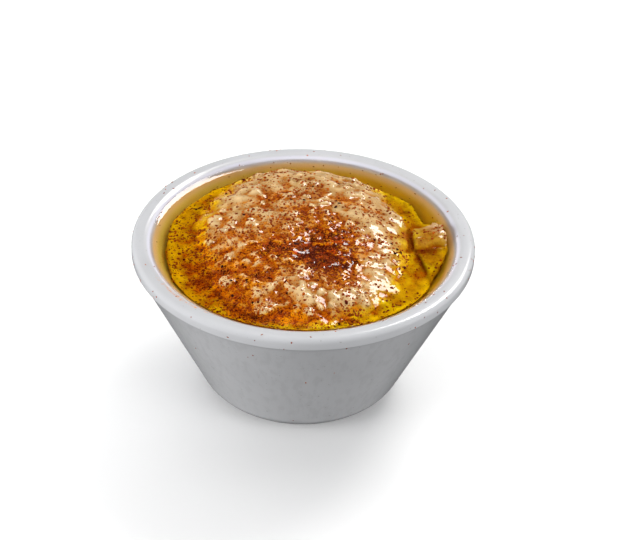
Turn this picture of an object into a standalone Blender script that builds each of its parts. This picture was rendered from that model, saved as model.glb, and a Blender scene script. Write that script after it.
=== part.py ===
"""A small white ceramic bowl, filled to the brim with hummus under a pool of olive oil.

Three solids, one inside the other: the bowl, the hummus heaped in it, and the oil that stands round
and over the edges of the heap. The origin is on the table, under the middle of the foot.
"""

import math

import bmesh
import bpy

MM = 0.001

# Driving dimensions of the bowl
RIM_RADIUS = 55 * MM
BOWL_HEIGHT = 55 * MM
LIP_HEIGHT = 4.0 * MM  # the thick band at the top
LIP_STEP = 0.8 * MM  # how far the body sits back under the band
LIP_OUTER_ROUND = 1.7 * MM
LIP_INNER_ROUND = 3.0 * MM
BODY_FOOT_RADIUS = 31.0 * MM  # the body's straight side, carried down to the table
BASE_ROUND = 10.8 * MM
MOUTH_RADIUS = 48.9 * MM  # where the lip's inner round meets the straight inner wall
MOUTH_DEPTH = 1.6 * MM
FLOOR_RADIUS = 26.3 * MM  # the straight inner wall, carried down to the floor
FLOOR_THICKNESS = 5.0 * MM
FLOOR_ROUND = 8.0 * MM
FOOT_RING_WIDTH = 3.2 * MM
FOOT_RECESS = 0.8 * MM
SEGMENTS = 72

# The filling
FIT_GAP = 0.3 * MM  # left between each solid and the next
OIL_LEVEL = BOWL_HEIGHT - 2.3 * MM
OIL_CLIMB = 0.6 * MM  # how far the oil creeps up the wall
OIL_CLIMB_WIDTH = 2.4 * MM
HEAP_RISE = 6.0 * MM  # the heap's middle over the oil
HEAP_CENTRE = (0.5 * MM, 0.5 * MM)
HEAP_HALF_SIZE = (34.5 * MM, 46.0 * MM)  # out to the line where the heap dips under the oil
DEEPEST_EDGE = -2.2 * MM
CLIFF_DEPTH = 2.0 * MM  # the heap's side meets the wall this deep, and deeper where the pool is wide
CLIFF_DEPTH_PER_WIDTH = 1.3
CLIFF_BULGE = 0.25  # of the way from its shoulder to its foot
LUMP_STEEPNESS = 1.4  # how fast a lump falls away towards its stated edge

# The pool's width between the heap's edge and the wall, round the bowl: (degrees from +X, width)
POOL_WIDTHS = [
    (-90, 1.3 * MM),
    (-62, 1.4 * MM),
    (-40, 1.9 * MM),
    (-30, 3.0 * MM),
    (-21, 5.8 * MM),
    (-11, 3.4 * MM),
    (-2, 2.2 * MM),
    (7, 1.8 * MM),
    (13, 2.0 * MM),
    (18, 7.8 * MM),
    (27, 6.6 * MM),
    (37, 5.0 * MM),
    (44, 6.2 * MM),
    (57, 7.8 * MM),
    (70, 7.0 * MM),
    (90, 6.4 * MM),
    (104, 5.0 * MM),
    (122, 5.8 * MM),
    (140, 5.2 * MM),
    (161, 4.2 * MM),
    (180, 5.0 * MM),
    (197, 4.4 * MM),
    (208, 2.8 * MM),
    (222, 1.4 * MM),
    (246, 1.3 * MM),
]

# The heap's own lumps and hollows: (x, y, half length, half width, degrees turned, rise)
LUMPS = [
    (-4 * MM, 34 * MM, 20 * MM, 8 * MM, 0, 0.9 * MM),  # the bank at the back
    (-21 * MM, 22 * MM, 12 * MM, 6 * MM, 50, 1.2 * MM),
    (-27 * MM, 2 * MM, 6 * MM, 11 * MM, 10, 1.0 * MM),
    (21 * MM, 7 * MM, 14 * MM, 6 * MM, 115, 1.6 * MM),  # the wet ridge on the right
    (17 * MM, 25 * MM, 9 * MM, 5 * MM, -35, 1.0 * MM),
    (0 * MM, -34 * MM, 8 * MM, 4 * MM, -55, 2.4 * MM),  # the three lumps at the front
    (13 * MM, -33 * MM, 7 * MM, 5 * MM, 30, 2.4 * MM),
    (-14 * MM, -30 * MM, 6 * MM, 5 * MM, -40, 1.7 * MM),
    (-24 * MM, -26 * MM, 4.5 * MM, 3.5 * MM, 0, 1.3 * MM),
    (24 * MM, -20 * MM, 6 * MM, 5 * MM, 60, 1.8 * MM),
    (3 * MM, -7 * MM, 15 * MM, 9 * MM, -20, -1.8 * MM),  # the hollow where the spice lies
    (-32 * MM, -20 * MM, 15 * MM, 9 * MM, -55, -1.0 * MM),
    (36 * MM, -18 * MM, 14 * MM, 6 * MM, 75, -0.8 * MM),
    (32 * MM, 21 * MM, 10 * MM, 5 * MM, -50, -1.8 * MM),  # the ledge under the oil
    (37.5 * MM, -2 * MM, 15 * MM, 3 * MM, 95, -2.6 * MM),  # the cleft beside the dollop
    (43 * MM, 7 * MM, 6 * MM, 5 * MM, 80, 4.6 * MM),  # the dollop against the wall
    (43 * MM, -6 * MM, 8 * MM, 4 * MM, 78, 1.6 * MM),  # its foot under the oil
]

# The heap's rings of points, from the middle of its top to the middle of its underside
TOP_RINGS = 17
TOP_RING_CROWDING = 0.75  # under 1, the rings lie closer together towards the edge
SIDE_RINGS = 3
UNDER_RINGS = 2


def make_material(name, colour, roughness, transmission=0.0):
    material = bpy.data.materials.new(name)
    material.use_nodes = True
    shader = material.node_tree.nodes["Principled BSDF"]
    shader.inputs["Base Color"].default_value = (*colour, 1.0)
    shader.inputs["Roughness"].default_value = roughness
    shader.inputs["Metallic"].default_value = 0.0
    shader.inputs["Transmission Weight"].default_value = transmission
    return material


def make_collection(name):
    collection = bpy.data.collections.new(name)
    bpy.context.scene.collection.children.link(collection)
    return collection


def arc(centre, radius, start, end, steps):
    """Points on a round, both ends included. Angles are in radians from +X, in the profile's plane."""
    points = []
    for step in range(steps + 1):
        angle = start + (end - start) * step / steps
        points.append((centre[0] + radius * math.cos(angle), centre[1] + radius * math.sin(angle)))
    return points


def lean(low, high):
    """The angle from the vertical of a straight side, given its (radius, height) at both ends."""
    return math.atan2(high[0] - low[0], high[1] - low[1])


def cavity_profile(inset):
    """The inside of the bowl from the middle of its floor to its mouth, moved inwards by inset."""
    floor = FLOOR_THICKNESS + inset
    mouth = BOWL_HEIGHT - MOUTH_DEPTH
    slant = lean((FLOOR_RADIUS, FLOOR_THICKNESS), (MOUTH_RADIUS, mouth))
    side = inset / math.cos(slant)  # the inset, measured level
    low = (FLOOR_RADIUS - side + inset * math.tan(slant), floor)
    centre_height = floor + FLOOR_ROUND
    centre_radius = low[0] + FLOOR_ROUND * math.tan(slant) - FLOOR_ROUND / math.cos(slant)
    round_points = arc((centre_radius, centre_height), FLOOR_ROUND, -math.pi / 2, -slant, 3)
    return [(0.0, floor), *round_points, (MOUTH_RADIUS - side, mouth)]


def radius_at(profile, height):
    """The profile's radius at a height, on the straight lines between its points."""
    for low, high in zip(profile, profile[1:]):
        if low[1] <= height <= high[1] and high[1] > low[1]:
            share = (height - low[1]) / (high[1] - low[1])
            return low[0] + (high[0] - low[0]) * share
    low, high = profile[-2:]
    return high[0] + (height - high[1]) * (high[0] - low[0]) / (high[1] - low[1])


def bowl_profile():
    """The bowl's section, from the middle of its floor up the inside, over the lip and down the outside."""
    cavity = cavity_profile(0.0)
    inner_slant = lean(cavity[-2], cavity[-1])
    inner_centre = (
        MOUTH_RADIUS + LIP_INNER_ROUND * math.cos(inner_slant),
        BOWL_HEIGHT - LIP_INNER_ROUND,
    )
    inner_round = arc(inner_centre, LIP_INNER_ROUND, math.pi - inner_slant, math.pi / 2, 4)
    outer_centre = (RIM_RADIUS - LIP_OUTER_ROUND, BOWL_HEIGHT - LIP_OUTER_ROUND)
    outer_round = arc(outer_centre, LIP_OUTER_ROUND, math.pi / 2, 0.0, 4)
    lip_bottom = BOWL_HEIGHT - LIP_HEIGHT
    body_top = (RIM_RADIUS - LIP_STEP, lip_bottom - LIP_STEP / 2)
    body_slant = lean((BODY_FOOT_RADIUS, 0.0), body_top)
    base_centre = (
        BODY_FOOT_RADIUS + BASE_ROUND * math.tan(body_slant) - BASE_ROUND / math.cos(body_slant),
        BASE_ROUND,
    )
    base_round = arc(base_centre, BASE_ROUND, -body_slant, -math.pi / 2, 5)
    ring_inner = base_centre[0] - FOOT_RING_WIDTH
    return [
        *cavity[:-1],
        *inner_round,
        *outer_round,
        (RIM_RADIUS, lip_bottom),
        body_top,
        *base_round,
        (ring_inner, 0.0),
        (ring_inner - FOOT_RECESS, FOOT_RECESS),
        (0.0, FOOT_RECESS),
    ]


def turned(name, profile, collection):
    """A solid of revolution. The profile's first and last points lie on the axis."""
    mesh = bpy.data.meshes.new(name)
    corners = [(radius, 0.0, height) for radius, height in profile]
    mesh.from_pydata(corners, [(n, n + 1) for n in range(len(corners) - 1)], [])
    solid = bpy.data.objects.new(name, mesh)
    collection.objects.link(solid)
    screw = solid.modifiers.new("turn", "SCREW")
    screw.steps = screw.render_steps = SEGMENTS
    screw.use_merge_vertices = True
    screw.merge_threshold = 0.00001
    screw.use_smooth_shade = True
    weld = solid.modifiers.new("close_axis", "WELD")
    weld.merge_threshold = 0.00001
    return solid


def pool_width(angle):
    """The pool's width at an angle, eased from one stated width to the next."""
    degrees = (math.degrees(angle) + 90) % 360 - 90
    stops = [*POOL_WIDTHS, (POOL_WIDTHS[0][0] + 360, POOL_WIDTHS[0][1])]
    for (start, width), (end, next_width) in zip(stops, stops[1:]):
        if start <= degrees <= end:
            share = (degrees - start) / (end - start)
            return width + (next_width - width) * share * share * (3 - 2 * share)
    return stops[0][1]


def lump_height(x, y, lump):
    """How much one lump adds at a point: its full rise in the middle, and about a quarter at its edge."""
    centre_x, centre_y, half_length, half_width, degrees, rise = lump
    turn = math.radians(degrees)
    along = (x - centre_x) * math.cos(turn) + (y - centre_y) * math.sin(turn)
    across = (y - centre_y) * math.cos(turn) - (x - centre_x) * math.sin(turn)
    reach = math.hypot(along / half_length, across / half_width)
    return rise * math.exp(-LUMP_STEEPNESS * reach * reach)


def heap_height(x, y):
    """The top of the hummus over the oil's level: a low dome with the lumps on it."""
    reach = math.hypot(
        (x - HEAP_CENTRE[0]) / HEAP_HALF_SIZE[0],
        (y - HEAP_CENTRE[1]) / HEAP_HALF_SIZE[1],
    )
    dome = HEAP_RISE * (1 - reach**2)
    if dome < 0:
        dome = DEEPEST_EDGE * (1 - math.exp(dome / -DEEPEST_EDGE))
    return dome + sum(lump_height(x, y, lump) for lump in LUMPS)


def heap_point(ring, angle, wall_inset):
    """A point of the heap: on its top, then down its side, then under it along the wall and floor.

    wall_inset says how far inside the bowl's wall its underside lies.
    """
    width = pool_width(angle)
    shoulder = radius_at(cavity_profile(0.0), OIL_LEVEL) - width
    foot_height = OIL_LEVEL - CLIFF_DEPTH - CLIFF_DEPTH_PER_WIDTH * width
    foot = radius_at(cavity_profile(FIT_GAP), foot_height)

    def top_height(radius):
        return OIL_LEVEL + heap_height(radius * math.cos(angle), radius * math.sin(angle))

    if ring <= TOP_RINGS:
        radius = shoulder * (ring / TOP_RINGS) ** TOP_RING_CROWDING
        return radius, top_height(radius)
    ring -= TOP_RINGS
    if ring <= SIDE_RINGS:
        share = ring / SIDE_RINGS
        bulge = CLIFF_BULGE * (foot - shoulder) * math.sin(math.pi * share)
        edge_height = top_height(shoulder)
        radius = shoulder + (foot - shoulder) * share + bulge
        return radius, edge_height + (foot_height - edge_height) * share
    ring -= SIDE_RINGS
    cavity = cavity_profile(wall_inset)
    if ring <= UNDER_RINGS:
        first_height = foot_height - 2 * FIT_GAP
        share = (ring - 1) / UNDER_RINGS
        height = first_height + (cavity[-2][1] - first_height) * share
        return radius_at(cavity, height), height
    ring -= UNDER_RINGS
    return cavity[-1 - ring]


def heap_solid(name, grow, wall_inset, collection):
    """The heap as a ball whose rings are moved to the heap's own.

    grow moves its top and side outwards, square to the surface.
    """
    rings = TOP_RINGS + SIDE_RINGS + UNDER_RINGS + len(cavity_profile(0.0)) - 1
    work = bmesh.new()
    bmesh.ops.create_uvsphere(work, u_segments=SEGMENTS, v_segments=rings, radius=1.0)
    grown = []
    for vertex in work.verts:
        ring = round(math.acos(max(-1.0, min(1.0, vertex.co.z))) / math.pi * rings)
        angle = math.atan2(vertex.co.y, vertex.co.x)
        radius, height = heap_point(ring, angle, wall_inset)
        vertex.co = (radius * math.cos(angle), radius * math.sin(angle), height)
        if ring <= TOP_RINGS + SIDE_RINGS:
            grown.append(vertex)
    bmesh.ops.triangulate(work, faces=work.faces, quad_method="FIXED")
    bmesh.ops.recalc_face_normals(work, faces=work.faces)
    work.normal_update()
    for vertex in grown:
        vertex.co += vertex.normal * grow
    mesh = bpy.data.meshes.new(name)
    work.to_mesh(mesh)
    work.free()
    mesh.shade_smooth()
    heap = bpy.data.objects.new(name, mesh)
    collection.objects.link(heap)
    return heap


def make_bowl(collection):
    bowl = turned("bowl", bowl_profile(), collection)
    bowl.data.materials.append(make_material("white_glaze", (0.78, 0.78, 0.79), 0.15))
    return bowl


def make_hummus(collection):
    hummus = heap_solid("hummus", 0.0, FIT_GAP, collection)
    hummus.data.materials.append(make_material("hummus", (0.63, 0.42, 0.2), 0.4))
    return hummus


def make_oil(collection, cutters):
    """The oil is what the bowl holds up to its level, less the heap and a gap round it."""
    cavity = cavity_profile(FIT_GAP)
    widest = max(width for degrees, width in POOL_WIDTHS)
    pool_bottom = OIL_LEVEL - CLIFF_DEPTH - CLIFF_DEPTH_PER_WIDTH * widest
    edge_height = OIL_LEVEL + OIL_CLIMB
    edge = radius_at(cavity, edge_height)
    blank = [
        (0.0, OIL_LEVEL),
        (edge - OIL_CLIMB_WIDTH, OIL_LEVEL),
        (edge - OIL_CLIMB_WIDTH * 0.4, OIL_LEVEL + OIL_CLIMB * 0.25),
        (edge, edge_height),
        (radius_at(cavity, pool_bottom), pool_bottom),
        (0.0, pool_bottom),
    ]
    oil = turned("olive_oil", blank, collection)
    oil.data.materials.append(make_material("olive_oil", (0.72, 0.5, 0.05), 0.05, 0.9))
    cutter = heap_solid("heap_cutter", FIT_GAP, -3 * MM, cutters)
    cutter.hide_render = True
    cutter.display_type = "WIRE"
    cut = oil.modifiers.new("heap", "BOOLEAN")
    cut.operation = "DIFFERENCE"
    cut.object = cutter
    return oil


def main():
    for old in list(bpy.data.objects):
        bpy.data.objects.remove(old)
    parts = make_collection("hummus_bowl")
    cutters = make_collection("cutters")
    make_bowl(parts)
    make_hummus(parts)
    make_oil(parts, cutters)


main()
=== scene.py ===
import math

import bpy
import numpy as np
from mathutils import Matrix, Vector


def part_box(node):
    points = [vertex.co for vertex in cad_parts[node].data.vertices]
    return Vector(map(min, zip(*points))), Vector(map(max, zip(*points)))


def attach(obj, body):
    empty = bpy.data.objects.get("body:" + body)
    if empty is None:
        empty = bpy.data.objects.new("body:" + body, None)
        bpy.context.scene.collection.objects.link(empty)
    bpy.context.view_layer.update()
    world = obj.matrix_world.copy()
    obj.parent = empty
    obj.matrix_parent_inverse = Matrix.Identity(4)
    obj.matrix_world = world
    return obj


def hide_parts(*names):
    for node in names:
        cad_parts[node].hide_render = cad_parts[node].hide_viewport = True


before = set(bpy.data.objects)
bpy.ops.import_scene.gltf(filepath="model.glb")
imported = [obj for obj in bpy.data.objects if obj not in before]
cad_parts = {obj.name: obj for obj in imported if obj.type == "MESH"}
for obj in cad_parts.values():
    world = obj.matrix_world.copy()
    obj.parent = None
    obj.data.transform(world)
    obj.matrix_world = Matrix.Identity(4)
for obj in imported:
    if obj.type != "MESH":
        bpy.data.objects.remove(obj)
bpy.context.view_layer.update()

MM = 0.001


# The view: from the front, a third of the way up, through a long lens, with the bowl a little to the
# left of the middle and above it. The camera leans a degree to its left.

mouth_centre = Vector((0, 0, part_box("bowl")[1].z))
camera_distance = 0.577
camera_height = math.radians(34.0)
camera_lean = math.radians(1.27)
aim_right_of_bowl = math.radians(0.522)
aim_below_bowl = math.radians(1.072)

backwards = Vector((0, -math.cos(camera_height), math.sin(camera_height)))
turns = (
    Matrix.Rotation(math.pi / 2 - camera_height, 3, "X")
    @ Matrix.Rotation(camera_lean, 3, "Z")
    @ Matrix.Rotation(-aim_right_of_bowl, 3, "Y")
    @ Matrix.Rotation(-aim_below_bowl, 3, "X")
)
bpy.ops.object.camera_add(
    location=mouth_centre + camera_distance * backwards,
    rotation=turns.to_euler(),
)
camera = bpy.context.object
camera.data.lens = 101.25
camera.data.sensor_width = 36
bpy.context.scene.camera = camera


# The studio: a pale table top, a wide softbox overhead, one behind the bowl on the right beside a window
# that makes the wet glints, a faint one in front, low ones on the left, at the right front and behind,
# and a little even light from the room.


class Value:
    """A socket's value in a finish. Arithmetic on it adds the Math nodes that work it out."""

    def __init__(self, finish, socket):
        self.finish = finish
        self.socket = socket

    def math(self, operation, *others):
        settings = {"operation": operation}
        return self.finish.node("ShaderNodeMath", settings, dict(enumerate([self, *others])))

    def __add__(self, other):
        return self.math("ADD", other)

    def __sub__(self, other):
        return self.math("SUBTRACT", other)

    def __rsub__(self, other):
        return self.math("MULTIPLY_ADD", -1, other)

    def __mul__(self, other):
        return self.math("MULTIPLY", other)

    def __truediv__(self, other):
        return self.math("DIVIDE", other)

    __radd__ = __add__
    __rmul__ = __mul__


class Finish:
    """A material whose nodes are added one by one, round one Principled shader."""

    def __init__(self, name, **constants):
        self.material = bpy.data.materials.new(name)
        self.material.use_nodes = True
        self.tree = self.material.node_tree
        self.shader = self.tree.nodes["Principled BSDF"]
        for socket, value in constants.items():
            self.shader.inputs[socket.replace("_", " ")].default_value = value
        self.place = self.node("ShaderNodeTexCoord", output="Object")

    def node(self, kind, settings=None, inputs=None, output=0):
        """Adds a node: first its settings, then its sockets, each given a value or a link."""
        node = self.tree.nodes.new(kind)
        for name, value in (settings or {}).items():
            if name == "stops":
                for (place, colour), stop in zip(value, self.stops(node, len(value))):
                    stop.position = place
                    stop.color = (*colour, 1)
            else:
                setattr(node, name, value)
        for socket, value in (inputs or {}).items():
            if isinstance(value, Value):
                self.tree.links.new(value.socket, node.inputs[socket])
            else:
                node.inputs[socket].default_value = value
        return Value(self, node.outputs[output])

    @staticmethod
    def stops(ramp, count):
        while len(ramp.color_ramp.elements) < count:
            ramp.color_ramp.elements.new(0.5)
        return ramp.color_ramp.elements

    def noise(self, grain, detail=2, offset=0, roughness=0.5, place=None):
        """Soft uneven patches about as large as grain, from 0 to 1."""
        inputs = {"Vector": self.moved(offset, place), "Scale": 1 / grain, "Detail": detail}
        return self.node("ShaderNodeTexNoise", None, {**inputs, "Roughness": roughness})

    def moved(self, offset, place=None):
        settings = {"vector_type": "POINT"}
        inputs = {"Vector": place or self.place, "Location": (offset, offset, offset)}
        return self.node("ShaderNodeMapping", settings, inputs)

    def between(self, value, low, high):
        """0 where the value is under low and 1 where it is over high, eased in between."""
        settings = {"interpolation_type": "SMOOTHSTEP"}
        inputs = {"Value": value, "From Min": low, "From Max": high}
        return self.node("ShaderNodeMapRange", settings, inputs)

    def mix(self, share, first, second, blend="MIX"):
        """One colour laid over another. Colours are given as three linear values."""
        settings = {"data_type": "RGBA", "blend_type": blend, "clamp_result": True}
        inputs = {0: share}
        for socket, colour in ((6, first), (7, second)):
            inputs[socket] = colour if isinstance(colour, Value) else (*colour, 1)
        return self.node("ShaderNodeMix", settings, inputs, output=2)

    def attribute(self, name):
        """A mask that is kept on the piece's points."""
        return self.node("ShaderNodeAttribute", {"attribute_name": name}, output="Fac")

    def bump(self, height, distance):
        self.feed("Normal", self.node("ShaderNodeBump", None, {"Height": height, "Distance": distance}))

    def feed(self, socket, value):
        self.tree.links.new(value.socket, self.shader.inputs[socket])


def deselect_all():
    bpy.ops.object.select_all(action="DESELECT")


def softbox(name, azimuth, elevation, distance, width, height, power, colour, fills=True, glints=True):
    """A square light that looks at the bowl's mouth. Azimuth 0 is behind it and 90 is on its right."""
    turn = math.radians(azimuth)
    rise = math.radians(elevation)
    towards = Vector((math.sin(turn) * math.cos(rise), math.cos(turn) * math.cos(rise), math.sin(rise)))
    bpy.ops.object.light_add(
        type="AREA",
        location=mouth_centre + towards * distance,
        rotation=towards.to_track_quat("Z", "Y").to_euler(),
    )
    light = bpy.context.object
    light.name = name
    light.data.shape = "RECTANGLE"
    light.data.size = width
    light.data.size_y = height
    light.data.energy = power
    light.data.color = colour
    light.visible_diffuse = light.visible_transmission = fills
    light.visible_glossy = glints


deselect_all()
bpy.ops.mesh.primitive_plane_add(size=3.0)
table_top = bpy.context.object
table_top.name = "table_top"
white_laminate = Finish("white_laminate", Base_Color=(1, 1, 1, 1), Roughness=0.8)
table_top.data.materials.append(white_laminate.material)
table_top.visible_diffuse = False  # so that it doesn't light the bowl from below
table_top.visible_glossy = False

softbox("overhead_softbox", -20, 78, 1.3, 1.3, 1.3, 8.1, (1.0, 1.0, 1.0), glints=False)
softbox("front_softbox", 180, 52, 1.2, 0.8, 0.6, 0.6, (1.0, 1.0, 1.0), glints=False)
softbox("back_low_softbox", 15, 8, 1.2, 0.8, 0.8, 9.0, (1.0, 1.0, 1.0), glints=False)
softbox("back_right_softbox", 36, 48, 1.0, 0.5, 0.4, 4.4, (1.0, 0.99, 0.97), glints=False)
softbox("window", 36, 46.5, 1.0, 0.6, 0.38, 9.5, (1.0, 0.99, 0.98), fills=False)
softbox("left_softbox", -109, 4, 1.2, 0.8, 0.8, 26.0, (1.0, 1.0, 1.0), glints=False)
softbox("right_front_softbox", 120, 10, 1.2, 0.8, 0.8, 13.6, (1.0, 1.0, 1.0), glints=False)

room = bpy.data.worlds.new("dim_room")
room.use_nodes = True
room.node_tree.nodes["Background"].inputs["Color"].default_value = (0.97, 0.98, 1, 1)
room.node_tree.nodes["Background"].inputs["Strength"].default_value = 0.12
room.cycles_visibility.glossy = False  # a veil of room light would grey the dark wet colours
bpy.context.scene.world = room
bpy.context.scene.view_settings.view_transform = "Standard"


# The bowl: thick white stoneware, pressed in one piece and dipped in a clear glossy glaze, with a round
# lip, a small step under it and a foot ring. Fine dots and faint streaks lie in the glaze, and spicy oil
# has smeared the lip.

bowl_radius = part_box("bowl")[1].x
bowl_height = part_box("bowl")[1].z
bowl_sides = 192
recess_radius = 20.1 * MM
recess_height = 0.8 * MM
lip_height = 4.0 * MM
wall_top_radius = bowl_radius - 5.35 * MM
floor_radius = 26.3 * MM
floor_height = 5.0 * MM
wall_lean = (wall_top_radius - floor_radius) / (bowl_height - floor_height)
oil_level = bowl_height - 2.3 * MM
# The corners of its section, from the foot to the inside of the floor: radius, height, round, steps
bowl_corners = [
    (recess_radius + recess_height, 0.0, 0.3 * MM, 2),
    (31.0 * MM, 0.0, 6.9 * MM, 14),
    (bowl_radius - 0.8 * MM, bowl_height - lip_height - 0.4 * MM, 0.3 * MM, 3),
    (bowl_radius, bowl_height - lip_height, 0.35 * MM, 3),
    (bowl_radius, bowl_height, 1.7 * MM, 8),
    (wall_top_radius, bowl_height, 1.9 * MM, 10),
    (floor_radius, floor_height, 5.1 * MM, 8),
]


def select_where(piece, kind, test):
    """Selects the points, edges or faces of a piece for which test is true, in edit mode."""
    bpy.ops.object.mode_set(mode="EDIT")
    bpy.ops.mesh.select_mode(type=kind)
    bpy.ops.mesh.select_all(action="DESELECT")
    bpy.ops.object.mode_set(mode="OBJECT")
    corners = piece.data.vertices
    parts = {"VERT": corners, "EDGE": piece.data.edges, "FACE": piece.data.polygons}[kind]
    for part in parts:
        points = [part.co] if kind == "VERT" else [corners[n].co for n in part.vertices]
        part.select = all(test(point) for point in points)
    bpy.ops.object.mode_set(mode="EDIT")


deselect_all()
bpy.ops.mesh.primitive_circle_add(
    vertices=bowl_sides,
    radius=recess_radius,
    fill_type="NGON",
    location=(0, 0, recess_height),
)
glazed_bowl = bpy.context.object
glazed_bowl.name = "glazed_bowl"
bpy.ops.object.transform_apply(location=True, rotation=True, scale=True)
bpy.ops.object.mode_set(mode="EDIT")
bpy.ops.mesh.select_all(action="SELECT")
radius = recess_radius
height = recess_height
for corner_radius, corner_height, rounding, steps in bowl_corners:
    rise = corner_height - height
    bpy.ops.mesh.extrude_region_move(TRANSFORM_OT_translate={"value": (0, 0, rise)})
    share = corner_radius / radius
    bpy.ops.transform.resize(value=(share, share, 1), center_override=(0, 0, corner_height))
    radius = corner_radius
    height = corner_height
for corner_radius, corner_height, rounding, steps in bowl_corners:
    corner = (corner_radius, corner_height)
    select_where(
        glazed_bowl, "EDGE", lambda point: math.dist((math.hypot(point.x, point.y), point.z), corner) < 0.01 * MM
    )
    bpy.ops.mesh.bevel(offset=rounding, segments=steps, profile=0.5, affect="EDGES")
bpy.ops.mesh.select_all(action="SELECT")
bpy.ops.mesh.normals_make_consistent(inside=False)
bpy.ops.object.mode_set(mode="OBJECT")
bpy.ops.object.shade_smooth()


def points_of(piece):
    """A piece's points in millimetres, one row for each axis."""
    points = np.empty(len(piece.data.vertices) * 3, np.float32)
    piece.data.vertices.foreach_get("co", points)
    return points.reshape(-1, 3).T / MM


def keep_mask(piece, name, values):
    mask = piece.data.attributes.new(name, "FLOAT", "POINT")
    mask.data.foreach_set("value", np.clip(values, 0, 1).astype(np.float32))


def blot(x, y, centre_x, centre_y, half_length, half_width, degrees=0):
    """A soft round or oval patch: 1 in its middle, about a third at its edge."""
    turn = math.radians(degrees)
    along = (x - centre_x) * math.cos(turn) + (y - centre_y) * math.sin(turn)
    across = (y - centre_y) * math.cos(turn) - (x - centre_x) * math.sin(turn)
    return np.exp(-((along / half_length) ** 2) - (across / half_width) ** 2)


x, y, z = points_of(glazed_bowl)
bearing = np.degrees(np.arctan2(x, -y))
from_rim = bowl_radius / MM - np.hypot(x, y)
smeared = blot(bearing, from_rim, -48, 3.9, 24, 1.1) + 0.7 * blot(bearing, from_rim, 35, 3.9, 14, 1.0)
keep_mask(glazed_bowl, "smeared", smeared * (z > bowl_height / MM - 3))
keep_mask(glazed_bowl, "dusty", np.where(z > (bowl_height - lip_height) / MM - 0.1, 1.0, 0.04))

glaze = Finish("clear_glaze_on_white", Roughness=0.2, IOR=1.5)
across, along, up = (glaze.node("ShaderNodeSeparateXYZ", None, {0: glaze.place}, axis) / MM for axis in "XYZ")
from_axis = (across * across + along * along).math("SQRT")
depth = oil_level / MM - up
inner_wall = wall_top_radius / MM - (bowl_height / MM - up) * wall_lean
# soaked here is the whole inside of the bowl: the wall under the oil and the bare band above it
soaked = glaze.between(inner_wall + 0.6 - from_axis, -0.4, 0.4)
cloudy = glaze.noise(18 * MM, 3, 0.2)
upright = glaze.node("ShaderNodeMapping", {"vector_type": "POINT"}, {"Vector": glaze.place, "Scale": (1, 1, 0.12)})
brushed = glaze.noise(2.2 * MM, 4, 0.9, 0.6, upright)
# The lip is painted darker than the body below it: painted shade that tones down the stronger light on the lip.
on_lip = glaze.between(up, 49, 51)
clean = glaze.mix(on_lip, (0.64, 0.645, 0.66), (0.55, 0.555, 0.572))
clean = glaze.mix(glaze.between(cloudy, 0.3, 0.7), clean, (1.05, 1.05, 1.05), "MULTIPLY")
streaked = (1 - on_lip) * glaze.between(brushed, 0.45, 0.65)
clean = glaze.mix(streaked * 0.5, clean, (0.575, 0.578, 0.59))
pinholes = 1 - glaze.between(glaze.noise(0.8 * MM, 0, 0.05), 0.14, 0.2)
clean = glaze.mix(pinholes * 0.5, clean, (0.3, 0.28, 0.26))
# The inside is painted a lighter, bluer white than the outside: painted light and a painted bluish reflection, not
# a stain.
clean = glaze.mix(soaked, clean, (0.70, 0.71, 0.80))
# Under the oil the wall takes the oil's tan and yellow, painted much brighter than the bare glaze and lighter on
# the left: the oil's own colour plus painted light.
stained = glaze.mix(soaked * glaze.between(depth, -0.7, 1.2), clean, (1.0, 0.745, 0.46))
yellow = glaze.mix(glaze.between(across, -30, 30), (1.0, 0.85, 0.31), (0.96, 0.67, 0.08))
stained = glaze.mix(soaked * glaze.between(depth, 0.8, 5), stained, yellow)
smears = glaze.attribute("smeared") + (glaze.noise(0.8 * MM, 3, 0.6, 0.7) - 0.5) * 2.2
stained = glaze.mix(glaze.between(smears, 0.75, 1.2) * 0.75, stained, (0.80, 0.34, 0.09))
glaze.feed("Base Color", stained)
orange_peel = glaze.noise(2.5 * MM, 2, 0.3)
glaze.bump(orange_peel, 0.015 * MM)
glazed_bowl.data.materials.append(glaze.material)
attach(glazed_bowl, "root")
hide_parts("bowl")


# The hummus: a stiff paste of mashed chickpeas, spooned in and pushed about, so its top is a low dome of
# soft torn lumps, and one dollop stands against the right wall. Where the oil has run over it, it is
# yellow and wet, and the spice has coloured the oil that lies in its hollows. Its colour also holds
# painted shade in the hollows and the cleft, and painted light on the crests and the yellow on the right.

rough_depth = 17 * MM  # how far under the oil the heap is cut before and after it is roughened
heap_depth = 15 * MM
# Its larger lumps: middle (x, y, over the oil) and half sizes in mm, degrees turned about x, y and z
lumps = [
    ((1.5, -36.5, 1.9), (2.6, 6.0, 1.3), (0, 0, 22)),
    ((-11, -37.0, 1.3), (3.6, 4.8, 1.6), (0, 0, -35)),
    ((-23.5, -25.5, 2.1), (2.6, 2.2, 1.4), (0, 0, 0)),
    ((-14, -27.5, 2.8), (3.4, 2.4, 1.4), (0, 0, -30)),
    ((29, 13.0, 1.0), (5.0, 3.2, 1.2), (0, 0, -50)),
    ((-27, 7.0, 2.0), (3.8, 5.2, 1.3), (0, 0, 30)),
    ((-18, 25.0, 2.6), (5.8, 2.8, 1.3), (0, 0, 40)),
]
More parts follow.
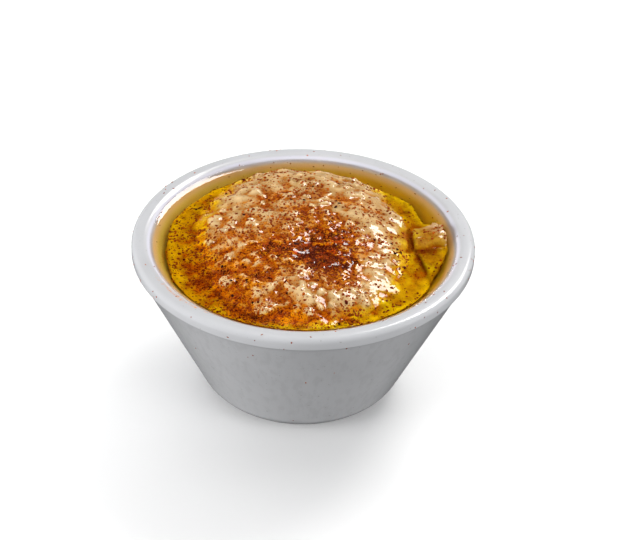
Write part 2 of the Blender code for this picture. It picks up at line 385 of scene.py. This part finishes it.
# The dollop against the right wall and its foot under the oil, as leaning blocks: each corner, named by
# its side (1 is left, front or low, -1 is right, back or high), with its x, y and height over the oil
blocks = {
    "dollop": {
        (1, -1, -1): (35.2, 7.2, 1.3),
        (-1, -1, -1): (45.2, 8.4, 3.6),
        (-1, 1, -1): (46.2, 3.6, 2.6),
        (1, 1, -1): (35.8, 0.0, 1.4),
        (1, -1, 1): (33.5, 9.0, -3.5),
        (-1, -1, 1): (44.5, 11.0, -3.5),
        (-1, 1, 1): (46.0, -3.0, -3.5),
        (1, 1, 1): (33.5, -10.0, -3.5),
    },
    "dollop_foot": {
        (1, -1, -1): (36.0, -2.5, -0.3),
        (-1, -1, -1): (45.6, 1.0, -0.3),
        (-1, 1, -1): (43.6, -9.0, -1.0),
        (1, 1, -1): (39.6, -16.0, -1.4),
        (1, -1, 1): (36.0, -1.5, -5.0),
        (-1, -1, 1): (44.5, 1.0, -5.0),
        (-1, 1, 1): (42.8, -9.5, -5.0),
        (1, 1, 1): (39.0, -17.5, -5.0),
    },
}
# Where the spice fell: how thickly, then the middle (x, y), half sizes and degrees of each soft patch
spice_falls = [
    (0.45, -3, -9, 26, 16, -10),
    (0.80, 7, -16, 9, 6, -25),
    (0.20, 8, -8, 12, 8, -20),
    (0.50, -2, -13, 7, 4, -20),
    (0.55, -11, -11, 3.5, 3, 0),
    (0.45, 11, -3, 7, 4.5, -40),
    (0.35, 3, 8, 10, 4, -35),
    (0.40, 11, -28, 6, 4, 20),
    (0.35, -13, -26, 7, 3.5, 25),
    (0.18, -24, -21, 9, 4, 25),
    (0.35, -21, -29, 19, 11, -45),
    (0.34, -6, -42, 32, 6, 0),
    (0.12, -33, -8, 8, 18, 20),
    (0.08, 2, 22, 34, 18, 0),
    (0.25, 41, 4, 6, 6, 0),
    (0.32, 14, 17, 9, 3, -30),
    (0.20, -10, 20, 8, 3.5, 20),
]


def apply_modifier(piece, kind, **settings):
    """Adds a modifier to a piece and applies it."""
    modifier = piece.modifiers.new(kind.lower(), kind)
    for name, value in settings.items():
        setattr(modifier, name, value)
    deselect_all()
    piece.select_set(True)
    bpy.context.view_layer.objects.active = piece
    bpy.ops.object.modifier_apply(modifier=modifier.name)


def roughen(piece, kind, grain, height, where="", **settings):
    """Raises a piece's surface in lumps about as large as grain, all over or by a point group's shares."""
    texture = bpy.data.textures.new(f"{piece.name}_{kind.lower()}", kind)
    texture.noise_scale = grain
    for name, value in settings.items():
        setattr(texture, name, value)
    apply_modifier(piece, "DISPLACE", texture=texture, texture_coords="LOCAL", strength=height, vertex_group=where)


def cut_below(piece, height):
    """Cuts a piece level and closes it."""
    bpy.context.view_layer.objects.active = piece
    bpy.ops.object.mode_set(mode="EDIT")
    bpy.ops.mesh.select_all(action="SELECT")
    bpy.ops.mesh.bisect(plane_co=(0, 0, height), plane_no=(0, 0, 1), use_fill=True, clear_inner=True)
    bpy.ops.object.mode_set(mode="OBJECT")


def uneven_ball(name, fineness, unevenness, seed, **place):
    """A ball with its points pushed about, as a start for a lump or a grain."""
    deselect_all()
    bpy.ops.mesh.primitive_ico_sphere_add(subdivisions=fineness, **place)
    ball = bpy.context.object
    ball.name = name
    bpy.ops.object.transform_apply(location=True, rotation=True, scale=True)
    bpy.ops.object.mode_set(mode="EDIT")
    bpy.ops.mesh.select_all(action="SELECT")
    bpy.ops.transform.vertex_random(offset=unevenness, seed=seed)
    bpy.ops.object.mode_set(mode="OBJECT")
    return ball


def clusters(x, y, count, size, seed):
    """Many small soft patches strewn over the bowl's mouth."""
    chance = np.random.default_rng(seed)
    total = np.zeros(len(x))
    for centre_x, centre_y, share in chance.uniform((-48, -48, 0.5), (48, 48, 1.5), (count, 3)):
        total += blot(x, y, centre_x, centre_y, size * share, size * share)
    return total


def evened(piece, values, passes):
    """Values on a piece's points, averaged with their neighbours' again and again."""
    ends = np.empty(len(piece.data.edges) * 2, np.int32)
    piece.data.edges.foreach_get("vertices", ends)
    starts, ends = ends.reshape(-1, 2).T
    count = len(values)
    neighbours = np.bincount(starts, minlength=count) + np.bincount(ends, minlength=count)
    neighbours = np.maximum(neighbours, 1)
    for step in range(passes):
        sums = np.bincount(starts, values[ends], count) + np.bincount(ends, values[starts], count)
        values = (values + sums / neighbours) / 2
    return values


class Scatter:
    """Loose grains on a piece, as one mesh: copies of one grain, more of them where a mask is high."""

    def __init__(self, name, ground, grain, mask, per_square_mm, smallest, largest, seed):
        self.tree = bpy.data.node_groups.new(name, "GeometryNodeTree")
        self.tree.interface.new_socket("Geometry", in_out="OUTPUT", socket_type="NodeSocketGeometry")
        ground_mesh = self.node("GeometryNodeObjectInfo", None, {"Object": ground}, "Geometry")
        grain_mesh = self.node("GeometryNodeObjectInfo", None, {"Object": grain}, "Geometry")
        amount = self.node("GeometryNodeInputNamedAttribute", {"data_type": "FLOAT"}, {"Name": mask})
        spots = self.node(
            "GeometryNodeDistributePointsOnFaces",
            {"distribute_method": "RANDOM"},
            {"Mesh": ground_mesh, "Density": amount * (per_square_mm / MM**2), "Seed": seed},
        )
        upright = Value(self, spots.socket.node.outputs["Rotation"])
        spin = self.random((-0.6, -0.6, 0), (0.6, 0.6, 2 * math.pi), seed + 1)
        turn = self.node("FunctionNodeEulerToRotation", None, {0: spin})
        turned = self.node(
            "FunctionNodeRotateRotation",
            {"rotation_space": "LOCAL"},
            {"Rotation": upright, "Rotate By": turn},
        )
        size = self.random(smallest, largest, seed + 2)
        grains = self.node(
            "GeometryNodeInstanceOnPoints",
            None,
            {"Points": spots, "Instance": grain_mesh, "Rotation": turned, "Scale": size},
        )
        tone = self.random((0, 0, 0), (1, 1, 1), seed + 3)
        toned = self.node(
            "GeometryNodeStoreNamedAttribute",
            {"data_type": "FLOAT_VECTOR", "domain": "INSTANCE"},
            {"Geometry": grains, "Name": "tone", "Value": tone},
        )
        real = self.node("GeometryNodeRealizeInstances", None, {"Geometry": toned})
        end = self.tree.nodes.new("NodeGroupOutput")
        self.tree.links.new(real.socket, end.inputs[0])
        deselect_all()
        bpy.ops.mesh.primitive_plane_add(size=MM)
        self.piece = bpy.context.object
        self.piece.name = name
        apply_modifier(self.piece, "NODES", node_group=self.tree)

    node = Finish.node

    def random(self, low, high, seed):
        settings = {"data_type": "FLOAT_VECTOR"}
        return self.node("FunctionNodeRandomValue", settings, {0: low, 1: high, "Seed": seed})


deselect_all()
wet_heap = bpy.data.objects.new("wet_heap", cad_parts["hummus"].data.copy())
wet_heap.data.materials.clear()
bpy.context.scene.collection.objects.link(wet_heap)
wet_heap.select_set(True)
bpy.context.view_layer.objects.active = wet_heap
bpy.ops.object.mode_set(mode="EDIT")
bpy.ops.mesh.select_all(action="SELECT")
bpy.ops.mesh.remove_doubles(threshold=0.01 * MM)
bpy.ops.object.mode_set(mode="OBJECT")
cut_below(wet_heap, oil_level - rough_depth)
apply_modifier(wet_heap, "SUBSURF", levels=1, render_levels=1)

x, y, z = points_of(wet_heap)
firm = np.clip(z - oil_level / MM - 0.5, 0, 1) * (1 - 0.95 * blot(x, y, 29, -4, 14, 26))
keep_mask(wet_heap, "firm", firm)
crumb = uneven_ball("crumb", 2, 0.09 * MM, 4, radius=0.5 * MM)
crumbs = Scatter("crumbs", wet_heap, crumb, "firm", 0.03, (2.4, 2.0, 0.35), (6.5, 4.2, 0.75), 21).piece
pieces = [crumb, crumbs]
for number, (middle, half_sizes, degrees) in enumerate(lumps):
    lump = uneven_ball(
        f"lump_{number}",
        2,
        0.7 * MM,
        number,
        radius=MM,
        location=(middle[0] * MM, middle[1] * MM, oil_level + middle[2] * MM),
        rotation=[math.radians(turn) for turn in degrees],
        scale=half_sizes,
    )
    pieces.append(lump)
bpy.data.objects.remove(pieces.pop(0))

for name, corners in blocks.items():
    deselect_all()
    bpy.ops.mesh.primitive_cube_add(size=2 * MM, location=(42 * MM, 0, oil_level))
    block = bpy.context.object
    block.name = name
    bpy.ops.object.transform_apply(location=True, rotation=True, scale=True)
    for (left, front, low), (x, y, over_oil) in corners.items():
        start = Vector((42 * MM - left * MM, -front * MM, oil_level - low * MM))
        target = Vector((x * MM, y * MM, oil_level + over_oil * MM))
        select_where(block, "VERT", lambda point: (point - start).length < 0.1 * MM)
        bpy.ops.transform.translate(value=target - start)
    bpy.ops.mesh.select_all(action="SELECT")
    bpy.ops.mesh.subdivide(number_cuts=3)
    bpy.ops.transform.vertex_random(offset=0.9 * MM, seed=8)
    bpy.ops.mesh.normals_make_consistent(inside=False)
    bpy.ops.object.mode_set(mode="OBJECT")
    pieces.append(block)

deselect_all()
for piece in [wet_heap, *pieces]:
    piece.select_set(True)
bpy.context.view_layer.objects.active = wet_heap
bpy.ops.object.join()
apply_modifier(wet_heap, "REMESH", mode="VOXEL", voxel_size=0.45 * MM)
apply_modifier(wet_heap, "SMOOTH", factor=0.5, iterations=6)
roughen(wet_heap, "CLOUDS", 8 * MM, 1.4 * MM, noise_depth=1)
roughen(wet_heap, "CLOUDS", 3.2 * MM, 0.55 * MM, noise_depth=1)
x, y, z = points_of(wet_heap)
churned = wet_heap.vertex_groups.new(name="churned")
shares = np.clip(blot(x, y, 8, -10, 22, 18) + blot(x, y, -6, -34, 24, 8) + blot(x, y, 27, -17, 8, 8), 0.15, 1)
steps = np.round(shares * 12).astype(int)
for step in range(1, 13):
    churned.add(np.flatnonzero(steps == step).tolist(), step / 12, "REPLACE")
roughen(wet_heap, "CLOUDS", 2.2 * MM, 0.5 * MM, "churned", noise_depth=1)
wet_heap.vertex_groups.clear()
cut_below(wet_heap, oil_level - heap_depth)
bpy.ops.object.shade_smooth()

x, y, z = points_of(wet_heap)
over_oil = z - oil_level / MM
relief = z - evened(wet_heap, z, 90)
strewn = clusters(x, y, 260, 3.0, 5)
sprinkled = 0.1
for share, *place in spice_falls:
    sprinkled = sprinkled + share * blot(x, y, *place)
rim_line = blot(over_oil, over_oil, -1.2, -1.2, 0.9, 0.9) * (x < 20)
thickness = np.minimum((sprinkled + 0.1) * (0.3 + 0.6 * strewn), 0.75) + 0.15 * rim_line
thickness *= 1 - 0.7 * blot(x, y, 34, -17, 9, 13)
visible = np.clip(over_oil + 4.5, 0, 1)
keep_mask(wet_heap, "stained", sprinkled)
keep_mask(wet_heap, "spice", thickness * visible)
keep_mask(wet_heap, "relief", 0.5 + relief)
oily = 1 - (over_oil + 0.3) / 3.0 + 0.5 * blot(x, y, 33, -14, 8, 18, 10) + 0.3 * blot(x, y, 0, -46, 30, 5)
oily += 0.9 * blot(x, y, 39, 1, 6, 7)
keep_mask(wet_heap, "oily", oily)
keep_mask(wet_heap, "sunk", 0.5 - over_oil / 4)
yellowed = 0.5 - over_oil / 4.5 + 0.35 * blot(x, y, -34, -2, 11, 28) + 0.35 * blot(x, y, 33, -13, 10, 18, 10)
yellowed += 0.25 * blot(x, y, 10, -40, 26, 7) + 0.25 * blot(x, y, -24, 20, 12, 9, 40)
keep_mask(wet_heap, "yellowed", yellowed)
shaded = blot(x, y, 41.3, -6.5, 8, 3.4, 100) + blot(x, y, 39.8, 1.8, 6.5, 6.5)
keep_mask(wet_heap, "shaded", shaded + 0.8 * blot(x, y, 34, 22, 9, 3.2, -60))
# cleft: thin creases beside the dollop and its foot, where painted shade goes
keep_mask(wet_heap, "cleft", blot(x, y, 37.5, -9, 9, 0.8, 105) + 0.6 * blot(x, y, 34.8, 3, 5, 0.8, 97))

paste = Finish(
    "chickpea_paste", Roughness=0.55, IOR=1.42, Specular_IOR_Level=0.03, Coat_Roughness=0.03, Coat_IOR=1.47
)
stained = paste.attribute("stained")
crests = paste.attribute("relief")
oily = paste.attribute("oily")
across = paste.node("ShaderNodeSeparateXYZ", None, {0: paste.place}, "X") / MM
patches = paste.noise(7 * MM, 3, 0.1)
blotches = paste.noise(1.6 * MM, 5, 0.7, 0.75)
specks = paste.noise(0.7 * MM, 3, 0.8, 0.7)
puddles = paste.noise(2.8 * MM, 4, 2.3, 0.65)
# hollows and peaks: where the surface dips and rises, used below to paint shade into the dips and light onto the
# tops
hollows = 1 - paste.between(crests, 0.25, 0.6)
peaks = paste.between(crests, 0.55, 0.95)
cream = paste.mix(paste.between(patches, 0.3, 0.7), (0.52, 0.313, 0.115), (0.64, 0.412, 0.182))
# The crests are painted lighter: painted light on the tops of the lumps.
cream = paste.mix(paste.between(crests, 0.5, 0.9) * 0.6, cream, (0.80, 0.58, 0.31))
tint = paste.mix(paste.between(patches, 0.35, 0.65), (1.0, 0.82, 0.16), (1.0, 0.96, 0.14))
soaked = paste.between(oily + (patches - 0.5) * 0.8 + hollows * 0.4, 0.25, 1.0)
# The hollows are painted darker: painted shade in the dips between the lumps.
cream = paste.mix(hollows, cream, (0.74, 0.52, 0.28), "MULTIPLY")
cream = paste.mix(soaked, cream, tint, "MULTIPLY")
sunk = paste.attribute("sunk")
yellowed = paste.attribute("yellowed") + (patches - 0.5) * 0.8 + (blotches - 0.5) * 0.3 + hollows * 0.1
yellowed = paste.between(yellowed, 0.25, 0.75)
# Where oil has run over it the paste takes the oil's yellow, painted brighter than the cream and brighter on the
# right than on the left: the oil's own colour plus painted light under the oil.
cream = paste.mix(yellowed, cream, (1.42, 1.53, 0.04), "MULTIPLY")
on_the_left = 1 - paste.between(across, -25, 30)
cream = paste.mix(yellowed * on_the_left, cream, (0.93, 0.80, 0.75), "MULTIPLY")
mottled = paste.between(paste.noise(3.2 * MM, 3, 1.7, 0.6), 0.42, 0.68)
cream = paste.mix(yellowed * mottled * 0.7, cream, (0.66, 0.56, 0.4), "MULTIPLY")
cleft = paste.attribute("cleft")
cream = paste.mix(paste.attribute("shaded") * (mottled * 0.4 + 0.65), cream, (0.48, 0.27, 0.14), "MULTIPLY")
# The cleft is painted dark brown: painted shade in the crease.
cream = paste.mix(cleft, cream, (0.30, 0.17, 0.1), "MULTIPLY")
# Spice colour is laid thicker in the hollows and thinner on the peaks: partly where the spice settles, partly
# painted shade in the hollows and painted light on the peaks.
settled_spice_and_shade = stained + hollows * 0.25 - peaks * 0.25
dusting = paste.between(settled_spice_and_shade + (blotches - 0.5) * 1.2, 0.24, 0.65)
cream = paste.mix(dusting, cream, (1.12, 0.59, 0.02), "MULTIPLY")
speckled = stained * 0.24 + hollows * 0.08 + (blotches - 0.5) * 0.3 + specks
cream = paste.mix(paste.between(speckled, 0.675, 0.72) * 0.85, cream, (0.20, 0.022, 0.001))
rusty = paste.between(settled_spice_and_shade + (blotches - 0.5) * 2.2 + (specks - 0.5) * 1.2, 0.72, 0.95)
rust = paste.mix(paste.between(stained, 0.65, 1.0), (0.40, 0.05, 0.001), (0.60, 0.058, 0.001))
cream = paste.mix(rusty * 0.8, cream, rust)
drenched = settled_spice_and_shade + (puddles - 0.5) * 2.0 + (blotches - 0.5) * 2.2 + (specks - 0.5) * 1.4
drenched = paste.between(drenched, 0.88, 1.02)
paste.feed("Base Color", paste.mix(drenched * 0.95, cream, (0.05, 0.005, 0.001)))
film = paste.noise(4.5 * MM, 2, 0.9) + (paste.noise(1.4 * MM, 1, 1.9) - 0.5) * 0.5
film = paste.between(film + oily * 0.08 + stained * 0.1, 0.41, 0.5)
film = film * (1 - paste.between(sunk, 0.4, 0.55))
paste.feed("Coat Weight", film)
grain = paste.noise(0.9 * MM, 3, 0.4)
paste.bump(grain, 0.14 * MM)
wet_heap.data.materials.append(paste.material)
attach(wet_heap, "root")
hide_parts("hummus")


# The olive oil: poured over, it has run off the heap and stands level round it, clear and deep yellow,
# and creeps a little way up the glaze. It reaches just into the wall.

pool_depth = 14.0 * MM
climb = 1.1 * MM
climb_fade = 1.9 * MM  # the distance over which the climb falls to about a third
climb_rings = [0.15, 0.35, 0.6, 0.9, 1.25, 1.7, 2.2, 2.8, 3.5, 4.4, 5.6, 7.2]  # mm from the wall


def wall_radius(height):
    """The radius of the bowl's inner wall at a height."""
    return wall_top_radius - wall_lean * (bowl_height - height)


deselect_all()
bpy.ops.mesh.primitive_circle_add(
    vertices=bowl_sides,
    radius=wall_radius(oil_level - pool_depth) + 0.3 * MM,
    fill_type="NGON",
    location=(0, 0, oil_level - pool_depth),
)
oil_pool = bpy.context.object
oil_pool.name = "oil_pool"
bpy.ops.object.transform_apply(location=True, rotation=True, scale=True)
edge_radius = wall_radius(oil_level + climb)
rings = [(edge_radius + 0.3 * MM, oil_level + climb)]
for distance in climb_rings:
    rings.append((edge_radius - distance * MM, oil_level + climb * math.exp(-distance * MM / climb_fade)))
rings.append((edge_radius - 10 * MM, oil_level))
bpy.ops.object.mode_set(mode="EDIT")
bpy.ops.mesh.select_all(action="SELECT")
radius = wall_radius(oil_level - pool_depth) + 0.3 * MM
height = oil_level - pool_depth
for ring_radius, ring_height in rings:
    bpy.ops.mesh.extrude_region_move(TRANSFORM_OT_translate={"value": (0, 0, ring_height - height)})
    share = ring_radius / radius
    bpy.ops.transform.resize(value=(share, share, 1), center_override=(0, 0, ring_height))
    radius = ring_radius
    height = ring_height
bpy.ops.mesh.select_all(action="SELECT")
bpy.ops.mesh.normals_make_consistent(inside=False)
bpy.ops.object.mode_set(mode="OBJECT")
bpy.ops.object.shade_smooth()

oil = Finish("deep_yellow_oil", Base_Color=(1, 1, 1, 1), Roughness=0.0, IOR=1.47, Transmission_Weight=1.0)
depth_tint = oil.node("ShaderNodeVolumeAbsorption", None, {"Color": (0.985, 0.92, 0.0, 1), "Density": 65})
oil.tree.links.new(depth_tint.socket, oil.tree.nodes["Material Output"].inputs["Volume"])
oil_pool.data.materials.append(oil.material)
keep_mask(oil_pool, "afloat", points_of(oil_pool)[2] > oil_level / MM - 0.1)
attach(oil_pool, "root")
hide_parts("olive_oil")


# The spice: ground dried red pepper, sprinkled by hand. Fine dust, flakes of half a millimetre and a few
# large almost black ones lie on the hummus, and some have landed in the oil and on the bowl.


wettest_x = 7  # mm, the middle of the dark wet patch
wettest_y = -15


def red_finish(name, stops):
    """Dried pepper, each grain in its own tone of the same few reds and browns."""
    finish = Finish(name, Roughness=0.5, Specular_IOR_Level=0.05)
    tone = finish.node("ShaderNodeAttribute", {"attribute_name": "tone"}, output="Vector")
    across, along = (finish.node("ShaderNodeSeparateXYZ", None, {0: finish.place}, axis) / MM for axis in "XY")
    aside = across - wettest_x
    forward = along - wettest_y
    from_middle = (aside * aside + forward * forward * 2.5).math("SQRT")
    wet = 1 - finish.between(from_middle, 6, 22)
    colour = finish.node("ShaderNodeValToRGB", {"stops": stops}, {0: tone})
    finish.feed("Base Color", finish.mix(wet * 0.7, colour, (0.45, 0.22, 0.15), "MULTIPLY"))
    return finish.material


oranges = [(0.3, (0.26, 0.04, 0.002)), (0.5, (0.40, 0.09, 0.003)), (0.7, (0.58, 0.18, 0.01))]
reds = [(0.25, (0.19, 0.025, 0.002)), (0.5, (0.28, 0.045, 0.003)), (0.75, (0.48, 0.10, 0.005))]
browns = [(0.3, (0.02, 0.004, 0.003)), (0.6, (0.08, 0.008, 0.002)), (0.8, (0.22, 0.015, 0.001))]
dust = red_finish("spice_dust", oranges)
pepper = red_finish("red_spice", reds)
dark_pepper = red_finish("dark_spice", browns)


def sprinkle(name, ground, mask, per_square_mm, smallest, largest, seed, material):
    """One kind of grain, strewn on a piece: its smallest and largest length, width and height in mm."""
    grain = uneven_ball("grain", 1, 0.16 * MM, seed, radius=0.5 * MM)
    grains = Scatter(name, ground, grain, mask, per_square_mm, smallest, largest, seed).piece
    bpy.data.objects.remove(grain)
    grains.data.materials.clear()
    grains.data.materials.append(material)
    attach(grains, "root")


sprinkle("spice_dust", wet_heap, "spice", 2.2, (0.28, 0.28, 0.14), (0.6, 0.55, 0.3), 11, dust)
sprinkle("spice_flakes", wet_heap, "spice", 0.95, (0.6, 0.55, 0.3), (1.4, 1.2, 0.6), 31, pepper)
sprinkle("dark_flakes", wet_heap, "spice", 0.035, (0.8, 0.7, 0.4), (1.7, 1.4, 0.7), 51, dark_pepper)
sprinkle(
    "lip_specks", glazed_bowl, "dusty", 0.034, (0.45, 0.4, 0.12), (1.15, 0.9, 0.25), 71, pepper
)
sprinkle("afloat_specks", oil_pool, "afloat", 0.008, (0.25, 0.2, 0.1), (0.6, 0.5, 0.2), 91, pepper)
